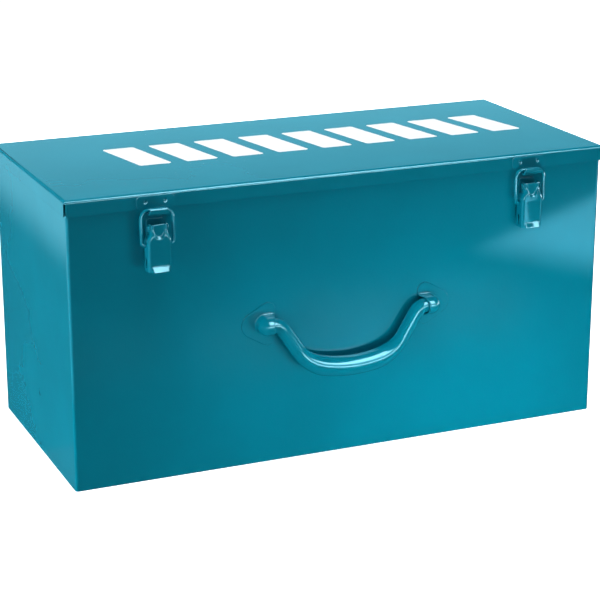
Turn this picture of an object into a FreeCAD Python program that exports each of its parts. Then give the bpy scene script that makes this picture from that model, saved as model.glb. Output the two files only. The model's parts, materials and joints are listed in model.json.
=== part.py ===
import FreeCAD, Part
import math
import os

# A sheet-steel carrying case for tools.  Millimetres.
# X runs along the length, the front with its latches and handle faces -Y, +Z is up.
# The origin is the centre of the case's underside.

Vec = FreeCAD.Vector
X_AXIS, Y_AXIS, Z_AXIS = Vec(1, 0, 0), Vec(0, 1, 0), Vec(0, 0, 1)

# ---- the case --------------------------------------------------------------
lid_length = 465.0
lid_width = 207.0
total_height = 234.0
sheet = 1.0
overhang = 2.0            # how far the lid's skirt stands out past the walls
skirt_depth = 12.5
lid_bend = 2.2            # outside radius of the lid's folded edges
corner_slit = 1.7         # the open corner between two folded skirts
wall_bend = 2.0           # outside radius of the walls' vertical corners
lid_rest_gap = 0.3        # between the walls' rim and the lid's underside
hem_depth = 6.0           # the rim is folded inwards for a safe edge
hem_gap = 0.2             # between the hem and the wall it is folded against
rim_round = 0.8
pan_flange = 12.0         # upturned edge of the bottom panel
pan_fit = 0.05            # between the pan and the walls
pan_round = 0.9
fold_inner_round = 0.5
lap_width = 16.0          # strip of the back seam that lies inside
seam_gap = 0.3

body_length = lid_length - 2 * overhang
body_width = lid_width - 2 * overhang
front = body_width / 2
rim_height = total_height - sheet - lid_rest_gap
skirt_bottom = total_height - skirt_depth

# ---- the two hinges at the back ---------------------------------------------
hinge_x = 150.0
hinge_length = 50.0
knuckle_radius = 3.0
knuckle_gap = 0.4
hinge_pin_radius = 1.5
running_clearance = 0.06
hinge_leaf = 1.2
hinge_leaf_height = 24.0
hinge_below_skirt = 4.0
lid_leaf_drop = 0.4       # the lid's leaf reaches this far below the skirt
heel_drop = 2.0           # the lid leaf's heel meets the back wall at full opening
pin_head_radius = 2.3
pin_head = 1.0
body_leaf_corner = 4.0
lid_leaf_corner = 3.0
hinge_y = front + knuckle_radius
hinge_z = skirt_bottom - hinge_below_skirt
knuckle_length = hinge_length / 3
bore_radius = hinge_pin_radius + running_clearance

# ---- the two draw latches on the front ---------------------------------------
latch_x = 161.0
lever_pivot_out = 7.0
lever_pivot_z = total_height - 26.5
bail_pivot_out = 6.5
bail_pivot_z = lever_pivot_z - 13.4
bail_bar_out = 5.0
bail_bar_z = lever_pivot_z + 13.7
bail_wire = 1.4           # radius of the loop's wire
bail_half_width = 12.9    # centre of the wire
bail_top_corner = 7.0
bail_bottom_corner = 3.0
bail_pin_inner = 7.9
pivot_pin = 1.2
lever_neck_half = 7.2
lever_body_half = 9.5
lever_neck_front = 10.4
lever_body_front = 11.6
lever_sheet = 1.0
lever_top_z = lever_pivot_z + 3.2
lever_shoulder_top_z = lever_pivot_z - 3.5
lever_shoulder_z = lever_pivot_z - 10.0
lever_bottom_z = lever_pivot_z - 33.4
lever_front_run = 3.0     # from the shoulder up to full depth
lever_lip_top_z = lever_pivot_z - 29.5
lever_lip_half = 7.2
lever_lip_out = 14.2      # the lip is pressed out of the front's lower end
lever_flange_back = 2.2
neck_flange_back = 4.8    # the neck's sides stop short of the latch's plate
lever_edge_round = 1.6
lever_slot_length = 8.2
lever_slot_half = 1.5
lever_slot_rise = 2.3     # from the lever's lower edge to the slot
base_sheet = 1.2
base_half = 7.0
base_bottom_z = lever_pivot_z - 30.0
base_top_z = lever_pivot_z + 6.0
base_corner = 2.0
ear_sheet = 1.0
ear_half = 5.8
ear_radius = 2.2
ear_foot_drop = 6.0       # the ears widen downwards to the plate
ear_foot_rise = 1.0       # and stay low above, where the open lever's top end passes
ear_root = 0.5            # how deep the ears sit in the plate
rivet_head_radius = 2.5
rivet_head = 0.9
rivet_slack = 0.3         # between the lever's sides and the rivet's heads

# ---- the keepers on the lid's skirt ------------------------------------------
keeper_half = 15.2
keeper_sheet = 1.0
keeper_top_z = total_height - 2.4
keeper_corner = 3.0
hook_half = 7.75
hook_play = 0.9           # between the loop's bar and the hook's floor
hook_floor_z = bail_bar_z - bail_wire - hook_play
hook_bend = 2.8           # centre-line radius of the hook's two bends
hook_out = 10.5           # centre line of the hook's outer lip
hook_lip_z = hook_floor_z + 4.3
hook_root = 4.0           # the hook's strip is part of the plate from here down

# ---- the drop handle -----------------------------------------------------------
handle_pivot_z = 117.0
handle_pivot_out = 6.5
leg_radius = 5.9
grip_radius = 8.3
upper_bend = 11.0
leg_angle = 57.0          # steepest slope of the legs, degrees below level
leg_straight = 20.8
lower_bend = 38.0
grip_bend = 110.0
grip_slope = 12.0         # slope where the lower bends meet the grip, degrees
handle_tilt = 3.3         # the grip rests against the front, so the loop leans out
handle_end_x = 71.0
lower_bend_sections = 8

# ---- the handle's two brackets ---------------------------------------------------
bracket_sheet = 1.0
bracket_inner_x = 62.5
bracket_side = 45.5       # side of the triangle that the plate is rounded from
bracket_corner = 6.5
bracket_apex_corner = 10.5
socket_radius = 6.55      # inside of the pressed socket
socket_end_x = 72.0
mouth_wall_x = 63.0       # the socket's mouth slants from here at the plate
mouth_front_x = 70.0      # to here at its front
mouth_depth = 20.0

# ---- for the shapes that cut ---------------------------------------------------
past = 1.0                # a cutting shape reaches this far past a face
far = 30.0                # and this far where it has to clear a whole fitting
near = 0.01               # edges are picked by their place to within this


def front_y(standoff):
    """Y of a point that stands off the front wall."""
    return -(front + standoff)


def box(x0, x1, y0, y1, z0, z1):
    return Part.makeBox(x1 - x0, y1 - y0, z1 - z0, Vec(x0, y0, z0))


def rounded_box(length, width, z0, z1, radius):
    """A block centred on the Z axis with round vertical corners."""
    block = box(-length / 2, length / 2, -width / 2, width / 2, z0, z1)
    upright = [edge for edge in block.Edges if abs(edge.tangentAt(0).z) > 0.9]
    return block.makeFillet(radius, upright)


def cylinder_x(x0, x1, y, z, radius):
    return Part.makeCylinder(radius, x1 - x0, Vec(x0, y, z), X_AXIS)


def at_x(shape, x):
    moved = shape.copy()
    moved.translate(Vec(x, 0, 0))
    return moved


def mirrored(shape):
    return shape.mirror(Vec(0, 0, 0), X_AXIS)


def prism_x(points, x0, x1):
    """A flat outline of (y, z) points, carried along X."""
    corners = [Vec(x0, y, z) for y, z in points]
    wire = Part.makePolygon(corners + corners[:1])
    return Part.Face(wire).extrude(Vec(x1 - x0, 0, 0))


def prism_y(points, y0, y1):
    """A flat outline of (x, z) points, carried along Y."""
    corners = [Vec(x, y0, z) for x, z in points]
    wire = Part.makePolygon(corners + corners[:1])
    return Part.Face(wire).extrude(Vec(0, y1 - y0, 0))


def save(name, shape):
    shape = shape.removeSplitter()
    shape.exportStep(os.path.join("parts", name + ".step"))
    print(name, "solids", len(shape.Solids), "valid", shape.isValid(), "volume", round(shape.Volume, 1))


# ---- body ------------------------------------------------------------------------
def body_wall():
    """One sheet wrapped round four sides, its rim hemmed inwards, its ends lapped at the back."""
    inner_bend = wall_bend - sheet
    walls = rounded_box(body_length, body_width, 0, rim_height, wall_bend)
    rim_edges = [edge for edge in walls.Edges if edge.BoundBox.ZMin > rim_height - near]
    walls = walls.makeFillet(rim_round, rim_edges)
    hem_z = rim_height - hem_depth
    walls = walls.cut(rounded_box(body_length - 2 * sheet, body_width - 2 * sheet, -past, hem_z, inner_bend))
    hem = 2 * sheet + hem_gap
    walls = walls.cut(rounded_box(body_length - 2 * hem, body_width - 2 * hem,
                                  hem_z - past, rim_height + past, fold_inner_round))
    lap_x = lap_width / 2
    seam_x = lap_x - sheet
    walls = walls.cut(box(seam_x, seam_x + seam_gap, front - sheet, front + past, -past, rim_height + past))
    lap = box(-lap_x, lap_x, front - 2 * sheet, front - sheet, pan_flange + sheet, hem_z)
    return walls.fuse(lap)


def bottom_panel():
    """A shallow pan set inside the walls, with its edges turned up."""
    length = body_length - 2 * sheet - 2 * pan_fit
    width = body_width - 2 * sheet - 2 * pan_fit
    pan = rounded_box(length, width, 0, pan_flange, wall_bend - sheet)
    low_edges = [edge for edge in pan.Edges if edge.BoundBox.ZMax < near]
    pan = pan.makeFillet(pan_round, low_edges)
    hollow = rounded_box(length - 2 * sheet, width - 2 * sheet, sheet, pan_flange + past, fold_inner_round)
    return pan.cut(hollow)


# ---- lid -------------------------------------------------------------------------
def lid_panel():
    """A flat top with four folded skirts that stay open at the corners."""
    block = box(-lid_length / 2, lid_length / 2, -lid_width / 2, lid_width / 2, skirt_bottom, total_height)
    top_edges = [edge for edge in block.Edges if edge.BoundBox.ZMin > total_height - near]
    pan = block.makeFillet(lid_bend, top_edges)
    half_x = lid_length / 2 - sheet
    half_y = lid_width / 2 - sheet
    hollow = box(-half_x, half_x, -half_y, half_y, skirt_bottom - past, total_height - sheet)
    hollow_top = [edge for edge in hollow.Edges if edge.BoundBox.ZMin > total_height - sheet - near]
    pan = pan.cut(hollow.makeFillet(lid_bend - sheet, hollow_top))
    slit_top = total_height - lid_bend
    for side_x in (-1, 1):
        for side_y in (-1, 1):
            corner = Vec(side_x * lid_length / 2, side_y * lid_width / 2, 0)
            slit = box(corner.x - corner_slit, corner.x + corner_slit,
                       corner.y - corner_slit, corner.y + corner_slit,
                       skirt_bottom - past, slit_top)
            pan = pan.cut(slit)
    return pan


# ---- hinges ----------------------------------------------------------------------
def knuckle(x0, x1):
    return cylinder_x(x0 + knuckle_gap / 2, x1 - knuckle_gap / 2, hinge_y, hinge_z, knuckle_radius)


def hinge_body_leaf():
    """Plate on the back wall with a knuckle at each end."""
    half = hinge_length / 2
    inner = knuckle_length / 2
    plate = box(-half, half, front, front + hinge_leaf, hinge_z - hinge_leaf_height, hinge_z)
    notch = cylinder_x(-inner, inner, hinge_y, hinge_z, knuckle_radius + knuckle_gap)
    leaf = plate.cut(notch).cut(box(-inner, inner, front, hinge_y, hinge_z - knuckle_radius, hinge_z + past))
    leaf = leaf.fuse(knuckle(-half, -inner)).fuse(knuckle(inner, half))
    corners = [edge for edge in leaf.Edges
               if abs(edge.BoundBox.ZMax - (hinge_z - hinge_leaf_height)) < near
               and edge.BoundBox.XLength < near and edge.BoundBox.YLength > hinge_leaf / 2]
    leaf = leaf.makeFillet(body_leaf_corner, corners)
    return leaf.cut(cylinder_x(-half, half, hinge_y, hinge_z, bore_radius))


def hinge_lid_leaf():
    """Plate on the lid's back skirt with the middle knuckle and a heel that stops the lid."""
    half = hinge_length / 2
    inner = knuckle_length / 2
    leaf_y = lid_width / 2
    leaf = box(-half, half, leaf_y, leaf_y + hinge_leaf,
               skirt_bottom - lid_leaf_drop, keeper_top_z)
    tongue = box(-inner + knuckle_gap / 2, inner - knuckle_gap / 2, leaf_y, leaf_y + hinge_leaf,
                 hinge_z, skirt_bottom)
    heel = box(-inner + knuckle_gap / 2, inner - knuckle_gap / 2, hinge_y, hinge_y + knuckle_radius,
               hinge_z - heel_drop, hinge_z)
    leaf = leaf.fuse(tongue).fuse(knuckle(-inner, inner)).fuse(heel)
    corners = [edge for edge in leaf.Edges
               if abs(edge.BoundBox.ZMin - keeper_top_z) < near
               and edge.BoundBox.XLength < near and edge.BoundBox.YLength > hinge_leaf / 2]
    leaf = leaf.makeFillet(lid_leaf_corner, corners)
    return leaf.cut(cylinder_x(-half, half, hinge_y, hinge_z, bore_radius))


def hinge_pin():
    """Plain pin with a peened head at each end."""
    half = hinge_length / 2
    pin = cylinder_x(-half, half, hinge_y, hinge_z, hinge_pin_radius)
    for x0 in (-half - pin_head, half):
        head = cylinder_x(x0, x0 + pin_head, hinge_y, hinge_z, pin_head_radius)
        pin = pin.fuse(head)
    return pin


# ---- latches ---------------------------------------------------------------------
def latch_base():
    """Plate on the front wall with two ears that carry the lever."""
    plate = box(-base_half, base_half, front_y(base_sheet), front_y(0), base_bottom_z, base_top_z)
    corners = [edge for edge in plate.Edges
               if edge.BoundBox.XLength < near and edge.BoundBox.ZLength < near]
    base = plate.makeFillet(base_corner, corners)
    pivot_y = front_y(lever_pivot_out)
    for x0 in (-ear_half, ear_half - ear_sheet):
        disc = cylinder_x(x0, x0 + ear_sheet, pivot_y, lever_pivot_z, ear_radius)
        foot = prism_x([(front_y(ear_root), lever_pivot_z - ear_foot_drop),
                        (front_y(ear_root), lever_pivot_z + ear_foot_rise),
                        (pivot_y, lever_pivot_z + ear_foot_rise), (pivot_y, lever_pivot_z - ear_radius)],
                       x0, x0 + ear_sheet)
        base = base.fuse(disc).fuse(foot)
    return base.cut(cylinder_x(-far, far, pivot_y, lever_pivot_z, pivot_pin))


def latch_rivet():
    """Rivet that the lever turns on."""
    pivot_y = front_y(lever_pivot_out)
    shank_half = lever_neck_half + rivet_slack
    rivet = cylinder_x(-shank_half, shank_half, pivot_y, lever_pivot_z, pivot_pin)
    for x0 in (-shank_half - rivet_head, shank_half):
        head = cylinder_x(x0, x0 + rivet_head, pivot_y, lever_pivot_z, rivet_head_radius)
        rivet = rivet.fuse(head)
    return rivet


def lever_shell(inset):
    """The lever's solid envelope, smaller by an inset on its sides and front."""
    neck = lever_neck_half - inset
    wide = lever_body_half - inset
    high, low = lever_top_z + past, lever_bottom_z - past
    outline = [(-neck, high), (neck, high), (neck, lever_shoulder_top_z),
               (wide, lever_shoulder_z), (wide, low), (-wide, low),
               (-wide, lever_shoulder_z), (-neck, lever_shoulder_top_z)]
    plan = prism_y(outline, front_y(far), front_y(0))
    side = [(front_y(lever_neck_front - inset), high),
            (front_y(lever_neck_front - inset), lever_shoulder_top_z + past),
            (front_y(lever_body_front - inset), lever_shoulder_z + lever_front_run),
            (front_y(lever_body_front - inset), low),
            (front_y(0), low),
            (front_y(0), high)]
    return plan.common(prism_x(side, -wide, wide))


def latch_lever():
    """Pressed channel: narrow neck on the rivet, wide body, and a lip for the finger."""
    shell = lever_shell(0)
    front_edges = [edge for edge in shell.Edges
                   if edge.BoundBox.YMax < front_y(lever_neck_front - past)
                   and abs(edge.tangentAt(edge.FirstParameter).x) < 0.7]
    shell = shell.makeFillet(lever_edge_round, front_edges)
    lever = shell.cut(lever_shell(lever_sheet))
    trim = prism_x([(front_y(neck_flange_back), lever_top_z),
                    (front_y(neck_flange_back), lever_shoulder_top_z),
                    (front_y(lever_flange_back), lever_shoulder_z),
                    (front_y(lever_flange_back), lever_bottom_z),
                    (front_y(far), lever_bottom_z), (front_y(far), lever_top_z)], -far, far)
    lever = lever.common(trim)

    drop = lever_lip_top_z - lever_bottom_z
    wall = lever_sheet * math.hypot(drop, lever_lip_out - lever_body_front) / drop
    lip = prism_x([(front_y(lever_body_front - lever_sheet), lever_lip_top_z),
                   (front_y(lever_body_front), lever_lip_top_z), (front_y(lever_lip_out), lever_bottom_z),
                   (front_y(lever_body_front - lever_sheet), lever_bottom_z)],
                  -lever_lip_half, lever_lip_half)
    hollow = prism_x([(front_y(lever_body_front - wall), lever_lip_top_z),
                      (front_y(lever_lip_out - wall), lever_bottom_z),
                      (front_y(lever_body_front - wall), lever_bottom_z)],
                     lever_sheet - lever_lip_half, lever_lip_half - lever_sheet)
    lever = lever.fuse(lip).cut(hollow)

    pivot_y = front_y(lever_pivot_out)
    bail_y = front_y(bail_pivot_out)
    lever = lever.cut(cylinder_x(-far, far, pivot_y, lever_pivot_z, pivot_pin + running_clearance))
    lever = lever.cut(cylinder_x(-far, far, bail_y, bail_pivot_z, bail_wire + running_clearance))
    slot_z = lever_bottom_z + lever_slot_rise + lever_slot_length / 2
    half_run = lever_slot_length / 2 - lever_slot_half
    slot = box(-far, far, bail_y - lever_slot_half, bail_y + lever_slot_half,
               slot_z - half_run, slot_z + half_run)
    for end in (-half_run, half_run):
        slot = slot.fuse(cylinder_x(-far, far, bail_y, slot_z + end, lever_slot_half))
    return lever.cut(slot)


def rounded_path(points, radii):
    """A wire through points, with an arc of the given radius at each inner point."""
    edges = []
    start = points[0]
    for before, corner, after, radius in zip(points, points[1:], points[2:], radii):
        back = (before - corner).normalize()
        ahead = (after - corner).normalize()
        half_turn = back.getAngle(ahead) / 2
        reach = radius / math.tan(half_turn)
        first = corner + back * reach
        last = corner + ahead * reach
        middle = corner + (back + ahead).normalize() * (radius / math.sin(half_turn) - radius)
        edges.append(Part.LineSegment(start, first).toShape())
        edges.append(Part.Arc(first, middle, last).toShape())
        start = last
    edges.append(Part.LineSegment(start, points[-1]).toShape())
    return Part.Wire(edges)


def latch_bail():
    """Wire loop: its bar sits in the keeper's hook, its turned-in ends sit in the lever."""
    low = Vec(0, front_y(bail_pivot_out), bail_pivot_z)
    high = Vec(0, front_y(bail_bar_out), bail_bar_z)
    out = Vec(bail_half_width, 0, 0)
    end = Vec(bail_pin_inner, 0, 0)
    points = [low - end, low - out, high - out, high + out, low + out, low + end]
    radii = [bail_bottom_corner, bail_top_corner, bail_top_corner, bail_bottom_corner]
    path = rounded_path(points, radii)
    circle = Part.Wire(Part.makeCircle(bail_wire, points[0], X_AXIS))
    return path.makePipeShell([circle], True, True)


def latch_keeper():
    """Plate on the lid's front skirt, its middle strip curled down and out into a hook."""
    back_y = front_y(overhang)
    face_y = front_y(overhang + keeper_sheet)
    plate = box(-keeper_half, keeper_half, face_y, back_y, skirt_bottom, keeper_top_z)
    corners = [edge for edge in plate.Edges if edge.BoundBox.XLength < near and edge.BoundBox.ZLength < near]
    plate = plate.makeFillet(keeper_corner, corners)
    mid = overhang + keeper_sheet / 2
    floor = hook_floor_z - keeper_sheet / 2
    spine = [Vec(0, front_y(mid), skirt_bottom + hook_root), Vec(0, front_y(mid), floor),
             Vec(0, front_y(hook_out), floor), Vec(0, front_y(hook_out), hook_lip_z)]
    path = rounded_path(spine, [hook_bend, hook_bend])
    start = spine[0]
    half = keeper_sheet / 2
    strip = Part.makePolygon([start + Vec(-hook_half, -half, 0), start + Vec(hook_half, -half, 0),
                              start + Vec(hook_half, half, 0), start + Vec(-hook_half, half, 0),
                              start + Vec(-hook_half, -half, 0)])
    hook = path.makePipeShell([strip], True, True)
    return plate.fuse(hook)


# ---- handle ----------------------------------------------------------------------
def disc(centre, slope, radius):
    """A round section of the handle, square to a centre line that falls at the given slope."""
    return Part.Wire(Part.makeCircle(radius, centre, Vec(math.cos(slope), 0, math.sin(slope))))


def bent_bar(centre, slope, radius, pivot, turn):
    """A round bar of constant section, turned about a bend's centre."""
    return Part.Face(disc(centre, slope, radius)).revolve(pivot, Y_AXIS, math.degrees(turn))


def handle_half():
    """The right half of the handle, its pivot axis along X through the origin."""
    steep = math.radians(leg_angle)
    shallow = math.radians(grip_slope)
    grip_x = grip_bend * math.sin(shallow)
    bend_x = grip_x + lower_bend * (math.sin(steep) - math.sin(shallow))
    leg_x = bend_x + leg_straight * math.cos(steep)
    start_x = leg_x + upper_bend * math.sin(steep)
    leg_z = -upper_bend * (1 - math.cos(steep))
    bend_z = leg_z - leg_straight * math.sin(steep)
    grip_z = bend_z - lower_bend * (math.cos(shallow) - math.cos(steep))
    start, leg = Vec(start_x, 0, 0), Vec(leg_x, 0, leg_z)
    along_leg = Vec(-math.cos(steep), 0, -math.sin(steep))
    bar = cylinder_x(start_x, handle_end_x, 0, 0, leg_radius)
    bar = bar.fuse(Part.makeSphere(leg_radius, Vec(handle_end_x, 0, 0)))
    bar = bar.fuse(bent_bar(start, 0, leg_radius, start - Z_AXIS * upper_bend, -steep))
    bar = bar.fuse(Part.makeCylinder(leg_radius, leg_straight, leg, along_leg))
    sections = []
    for step in range(lower_bend_sections + 1):
        share = step / lower_bend_sections
        slope = steep + (shallow - steep) * share
        swell = (grip_radius - leg_radius) * share * share * (3 - 2 * share)
        centre = Vec(grip_x + lower_bend * (math.sin(slope) - math.sin(shallow)), 0,
                     bend_z - lower_bend * (math.cos(slope) - math.cos(steep)))
        sections.append(disc(centre, slope, leg_radius + swell))
    bar = bar.fuse(Part.makeLoft(sections, True, False))
    top_of_bend = Vec(0, 0, grip_z + grip_bend * math.cos(shallow))
    return bar.fuse(bent_bar(Vec(grip_x, 0, grip_z), shallow, grip_radius, top_of_bend, shallow))


def handle():
    """Round bar bent to a shallow loop, thicker in the grip, its ends in the brackets' sockets."""
    half = handle_half()
    bar = half.fuse(mirrored(half))
    bar.rotate(Vec(0, 0, 0), X_AXIS, -handle_tilt)
    bar.translate(Vec(0, front_y(handle_pivot_out), handle_pivot_z))
    return bar


def socket_body(radius, depth_out):
    """Round-ended tunnel on the right of the handle, open towards the wall."""
    pivot_y = front_y(handle_pivot_out)
    wall_y = front_y(depth_out)
    tunnel = cylinder_x(bracket_inner_x - past, socket_end_x, pivot_y, handle_pivot_z, radius)
    sides = box(bracket_inner_x - past, socket_end_x, pivot_y, wall_y,
                handle_pivot_z - radius, handle_pivot_z + radius)
    dome = Part.makeSphere(radius, Vec(socket_end_x, pivot_y, handle_pivot_z))
    end = Part.makeCylinder(radius, wall_y - pivot_y, Vec(socket_end_x, pivot_y, handle_pivot_z), Y_AXIS)
    return tunnel.fuse(sides).fuse(dome).fuse(end)


def handle_bracket():
    """Rounded triangular plate with a pressed socket that holds the handle's right end."""
    half_side = bracket_side / 2
    apex_x = bracket_inner_x + bracket_side * math.sqrt(3) / 2      # all three sides are equal
    outline = [(bracket_inner_x, handle_pivot_z - half_side), (bracket_inner_x, handle_pivot_z + half_side),
               (apex_x, handle_pivot_z)]
    plate = prism_y(outline, front_y(bracket_sheet), front_y(0))
    across = [edge for edge in plate.Edges if abs(edge.tangentAt(edge.FirstParameter).y) > 0.9]
    apex = [edge for edge in across if edge.BoundBox.XMax > apex_x - past]
    plate = plate.makeFillet(bracket_apex_corner, apex)
    inner = [edge for edge in plate.Edges if abs(edge.tangentAt(edge.FirstParameter).y) > 0.9
             and edge.BoundBox.XMax < bracket_inner_x + near]
    plate = plate.makeFillet(bracket_corner, inner)
    outer = socket_body(socket_radius + bracket_sheet, 0)
    mouth = Part.makePolygon([Vec(0, front_y(0), 0), Vec(mouth_wall_x, front_y(0), 0),
                              Vec(mouth_front_x, front_y(mouth_depth), 0), Vec(0, front_y(mouth_depth), 0),
                              Vec(0, front_y(0), 0)])
    cutter = Part.Face(mouth).extrude(Z_AXIS * total_height)
    behind_wall = box(0, lid_length, front_y(0), 0, 0, total_height)
    plate = plate.fuse(outer.cut(cutter)).cut(behind_wall)
    return plate.cut(socket_body(socket_radius, -past))


def main():
    os.makedirs("parts", exist_ok=True)
    save("body_wall", body_wall())
    save("bottom_panel", bottom_panel())
    save("lid_panel", lid_panel())
    for side, x in (("left", -1), ("right", 1)):
        save("hinge_body_leaf_" + side, at_x(hinge_body_leaf(), x * hinge_x))
        save("hinge_lid_leaf_" + side, at_x(hinge_lid_leaf(), x * hinge_x))
        save("hinge_pin_" + side, at_x(hinge_pin(), x * hinge_x))
        save("latch_base_" + side, at_x(latch_base(), x * latch_x))
        save("latch_rivet_" + side, at_x(latch_rivet(), x * latch_x))
        save("latch_lever_" + side, at_x(latch_lever(), x * latch_x))
        save("latch_bail_" + side, at_x(latch_bail(), x * latch_x))
        save("latch_keeper_" + side, at_x(latch_keeper(), x * latch_x))
    save("handle", handle())
    save("handle_bracket_right", handle_bracket())
    save("handle_bracket_left", mirrored(handle_bracket()))


main()
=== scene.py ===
import bpy
import bmesh
import json
import math
import numpy as np
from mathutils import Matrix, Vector


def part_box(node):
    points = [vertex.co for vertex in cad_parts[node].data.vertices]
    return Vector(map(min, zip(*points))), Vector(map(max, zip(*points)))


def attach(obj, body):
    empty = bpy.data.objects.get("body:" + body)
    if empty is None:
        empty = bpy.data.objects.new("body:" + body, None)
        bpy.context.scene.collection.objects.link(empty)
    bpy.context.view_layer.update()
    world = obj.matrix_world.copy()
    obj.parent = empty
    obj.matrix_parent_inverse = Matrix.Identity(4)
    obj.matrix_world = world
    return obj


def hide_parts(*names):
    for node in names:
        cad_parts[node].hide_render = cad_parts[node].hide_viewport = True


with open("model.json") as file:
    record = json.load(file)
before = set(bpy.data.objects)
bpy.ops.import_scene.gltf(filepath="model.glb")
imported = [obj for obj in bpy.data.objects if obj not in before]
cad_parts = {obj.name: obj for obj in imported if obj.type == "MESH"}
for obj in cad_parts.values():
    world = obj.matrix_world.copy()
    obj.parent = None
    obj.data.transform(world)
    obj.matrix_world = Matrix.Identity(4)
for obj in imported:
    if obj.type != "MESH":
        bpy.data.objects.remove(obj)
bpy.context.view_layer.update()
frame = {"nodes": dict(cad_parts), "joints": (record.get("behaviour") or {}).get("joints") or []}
print("frame loaded")

# places read from the frame, in metres
mm = 0.001
joints = {joint["name"]: joint for joint in frame["joints"]}
wallLow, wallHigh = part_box("body_wall")
lidLow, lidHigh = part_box("lid_panel")
frontY = wallLow.y                      # the front wall's outer face
sides = {"left": -1, "right": 1}


def hexToLinear(hexColour):
    # sRGB hex to linear RGBA: c/12.92 below the knee, ((c+0.055)/1.055)^2.4 above it
    parts = np.array([int(hexColour[i:i + 2], 16) / 255 for i in (1, 3, 5)])
    linear = np.where(parts <= 0.04045, parts / 12.92, ((parts + 0.055) / 1.055) ** 2.4)
    return (*[float(value) for value in linear], 1.0)


# materials
def node(tree, kind, settings=None, links=None):
    # adds one node; links maps an input to a (node, output) pair or to a plain value
    made = tree.nodes.new(kind)
    for name, value in (settings or {}).items():
        setattr(made, name, value)
    for name, value in (links or {}).items():
        if isinstance(value, tuple) and hasattr(value[0], "outputs"):
            tree.links.new(value[0].outputs[value[1]], made.inputs[name])
        else:
            made.inputs[name].default_value = value
    return made


def noise(tree, place, sizeMm, detail):
    # soft noise with features about sizeMm across
    return node(tree, "ShaderNodeTexNoise", links={"Vector": (place, "Object"), "Scale": 1 / (sizeMm * mm),
                                                   "Detail": detail})


def spread(tree, value, low, high, toLow=0.0, toHigh=1.0, kind="LINEAR"):
    # stretches low..high of a value to toLow..toHigh and holds it there beyond both ends
    return node(tree, "ShaderNodeMapRange", {"interpolation_type": kind},
                {"Value": value, "From Min": low, "From Max": high, "To Min": toLow, "To Max": toHigh})


def blend(tree, factor, first, second):
    # a colour between first (factor 0) and second (factor 1)
    return node(tree, "ShaderNodeMix", {"data_type": "RGBA"}, {"Factor": factor, 6: first, 7: second})


def newMaterial(name):
    material = bpy.data.materials.new(name)
    material.use_nodes = True
    return material, material.node_tree, material.node_tree.nodes["Principled BSDF"]


enamelLook = {
    "colour": "#007e95",
    "deepColour": "#00798f",
    "cloudMm": 60.0,           # size of the changes in paint depth
    "cloudRange": (0.35, 0.65),
    "roughness": 0.07,
    "ior": 1.525,
    "sheenTint": "#a0ecff",    # the pigment tints what the enamel mirrors a little
    "coatWeight": 0.25,
    "coatRoughness": 0.03,
    "coatIor": 1.5,
    "orangePeelMm": 8.0,       # size of the spray's ripples
    "orangePeelDepthMm": 0.006,
    "wavinessMm": 95.0,        # size of the sheet's soft unevenness
    "wavinessDepthMm": 0.10,
    # painted highlight: the paler teal painted along sharp edges, and how much of it they get
    "edgeHighlightColour": "#5f9fae",
    "edgeHighlightRange": (0.56, 0.72),  # how sharp an edge has to be before it gets the painted highlight
    "edgeHighlight": 0.45,
    "marksMm": 28.0,           # size of the duller patches left by handling
    "marksRange": (0.4, 0.75),
    "marksDull": 0.02,
}


def glossEnamel(name, look, waviness=True):
    # gloss enamel sprayed on steel: a deep teal under a clear, slightly rippled skin
    material, tree, shader = newMaterial(name)
    place = node(tree, "ShaderNodeTexCoord")
    # slow change of paint depth, a few centimetres across
    cloud = noise(tree, place, look["cloudMm"], 3.0)
    depth = spread(tree, (cloud, "Fac"), *look["cloudRange"])
    paint = blend(tree, (depth, "Result"), hexToLinear(look["deepColour"]), hexToLinear(look["colour"]))
    # painted highlight: sharp convex edges are painted a paler teal, standing in for the bright lines that
    # the rounded bends mirror
    bend = node(tree, "ShaderNodeNewGeometry")
    edge = spread(tree, (bend, "Pointiness"), *look["edgeHighlightRange"], toHigh=look["edgeHighlight"])
    highlightedEdges = blend(tree, (edge, "Result"), (paint, 2), hexToLinear(look["edgeHighlightColour"]))
    tree.links.new(highlightedEdges.outputs[2], shader.inputs["Base Color"])
    # handling marks: slightly duller patches
    marks = noise(tree, place, look["marksMm"], 4.0)
    dull = spread(tree, (marks, "Fac"), *look["marksRange"], look["roughness"],
                  look["roughness"] + look["marksDull"])
    tree.links.new(dull.outputs[0], shader.inputs["Roughness"])
    peel = noise(tree, place, look["orangePeelMm"], 1.0)
    skin = node(tree, "ShaderNodeBump", links={"Height": (peel, "Fac"),
                                               "Distance": look["orangePeelDepthMm"] * mm})
    if waviness:
        wave = noise(tree, place, look["wavinessMm"], 0.0)
        skin = node(tree, "ShaderNodeBump", links={"Height": (wave, "Fac"), "Normal": (skin, "Normal"),
                                                   "Distance": look["wavinessDepthMm"] * mm})
    tree.links.new(skin.outputs[0], shader.inputs["Normal"])
    tree.links.new(skin.outputs[0], shader.inputs["Coat Normal"])
    shader.inputs["Metallic"].default_value = 0.0
    shader.inputs["IOR"].default_value = look["ior"]
    shader.inputs["Specular Tint"].default_value = hexToLinear(look["sheenTint"])
    shader.inputs["Coat Weight"].default_value = look["coatWeight"]
    shader.inputs["Coat Roughness"].default_value = look["coatRoughness"]
    shader.inputs["Coat IOR"].default_value = look["coatIor"]
    return material


panelEnamel = glossEnamel("gloss enamel sprayed on steel sheet", enamelLook)
fittingEnamel = glossEnamel("gloss enamel dipped on pressed fittings", enamelLook, waviness=False)
inkLook = {"shade": "#e2e2e4", "colour": "#efeff0", "grainMm": 1.2, "reliefMm": 0.004, "roughness": 0.38}


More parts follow.
